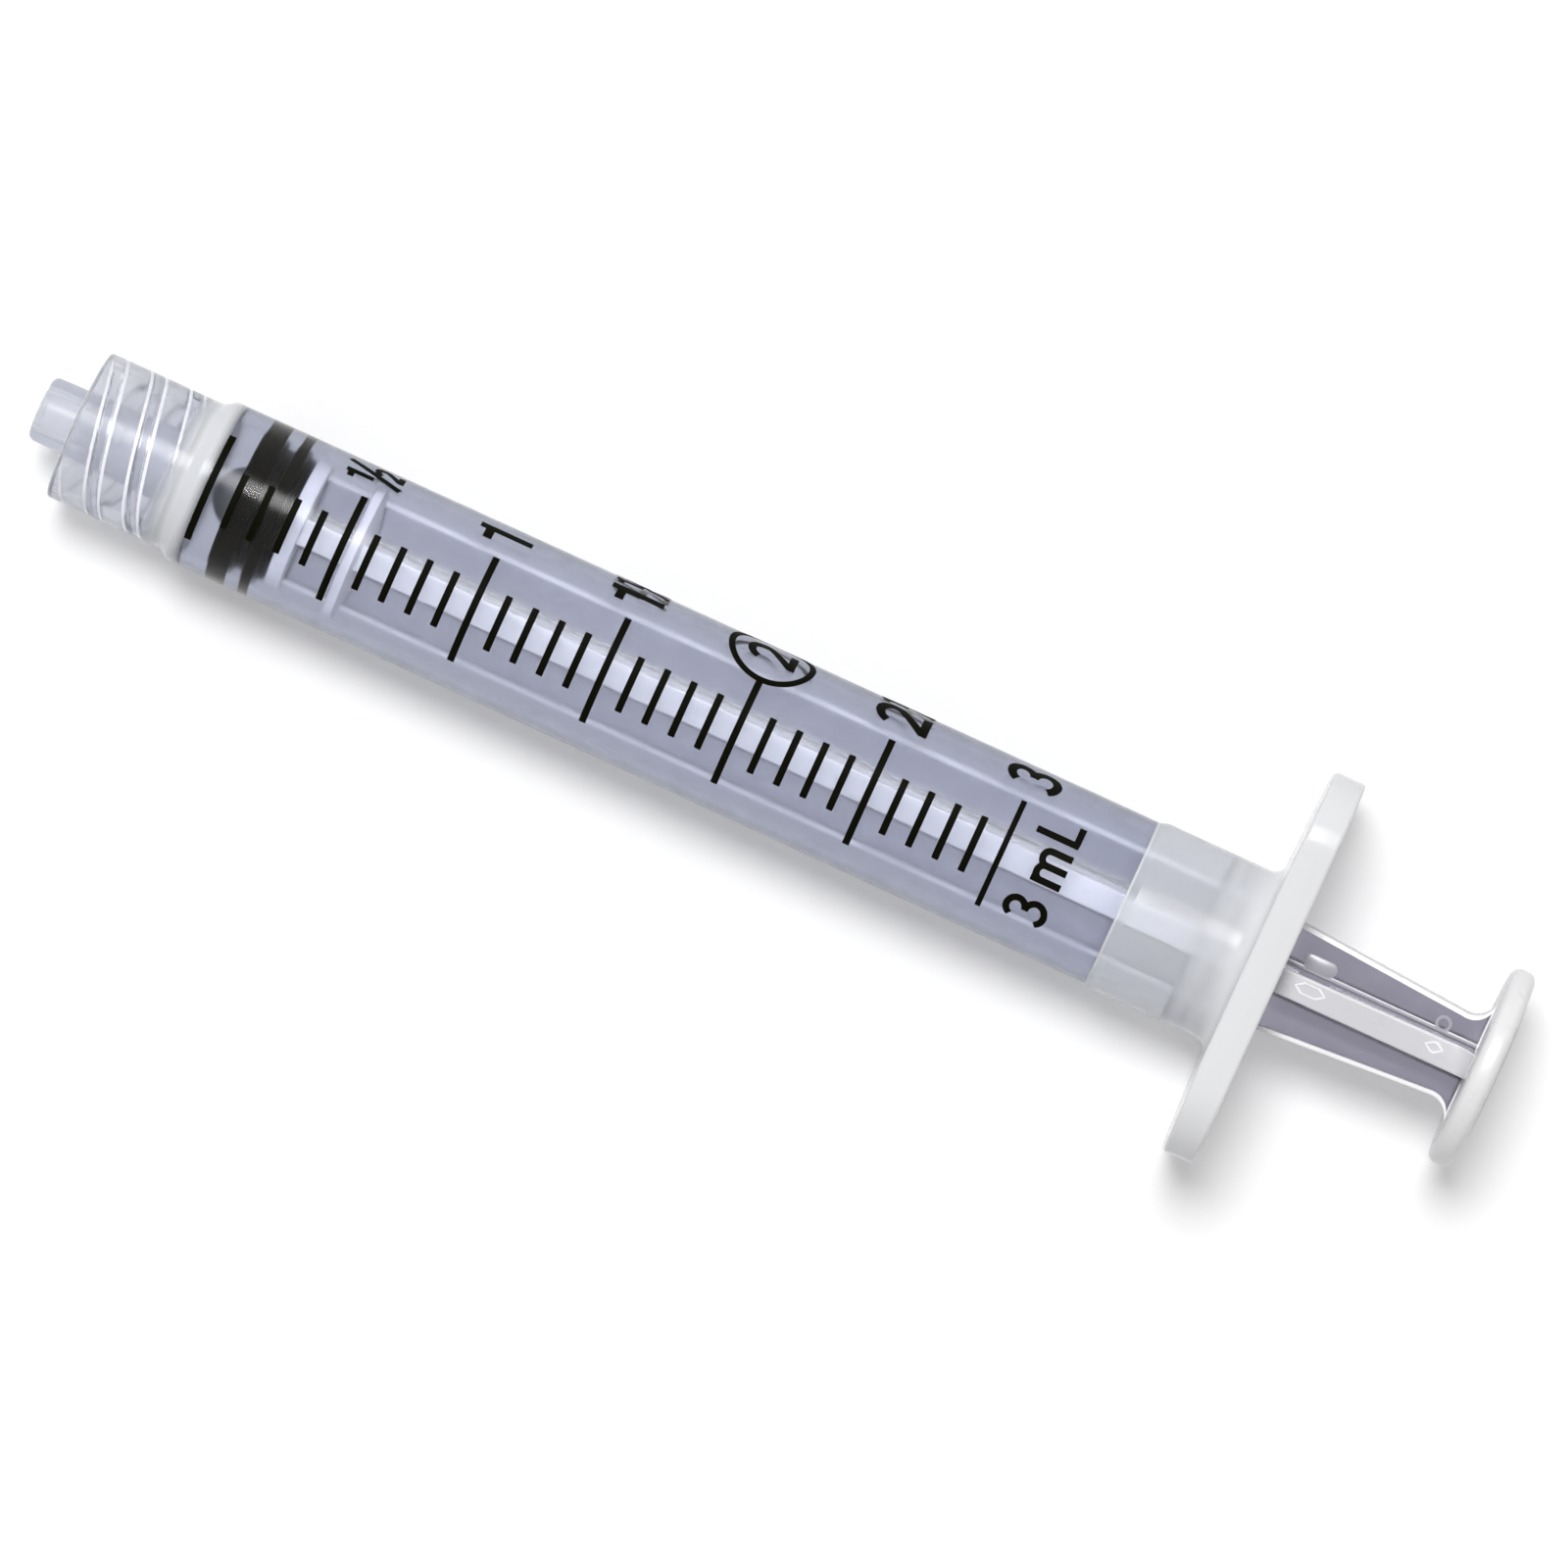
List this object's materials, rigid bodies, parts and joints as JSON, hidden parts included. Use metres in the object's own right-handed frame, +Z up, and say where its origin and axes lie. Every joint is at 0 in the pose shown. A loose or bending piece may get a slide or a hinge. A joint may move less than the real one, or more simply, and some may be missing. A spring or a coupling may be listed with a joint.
{
  "type": "luer lock syringe",
  "caption": "Small clear plastic luer lock syringe with a threaded lock collar, finger flange, dark rubber stopper and a cross-ribbed plunger rod with a round thumb rest.",
  "frame": {"origin": "on the table under the middle of the whole syringe's box, as it lies on its side", "axes": "+X from the luer tip to the thumb rest, +Y along the flange's wings, +Z up; the barrel's axis rises 1.25 degrees toward the thumb rest"},
  "size_m": [0.094, 0.0244, 0.0132],
  "materials": {
    "barrel_plastic": "gloss",
    "stopper_rubber": "satin",
    "rod_plastic": "satin"
  },
  "bodies": {
    "barrel": {"barrel": "barrel_plastic"},
    "stopper": {"stopper": "stopper_rubber"},
    "plunger": {"plunger_rod": "rod_plastic"}
  },
  "joints": [
    {"name": "plunger_slide", "type": "slide", "parent": "barrel", "child": "stopper", "axis": [0.9998, 0, 0.0219], "range_m": [-0.00145, 0.05391]},
    {"name": "plunger_turn", "type": "hinge", "parent": "stopper", "child": "plunger", "pos_m": [-0.03601, 0, 0.00513], "axis": [0.9998, 0, 0.0219], "continuous": true}
  ]
}
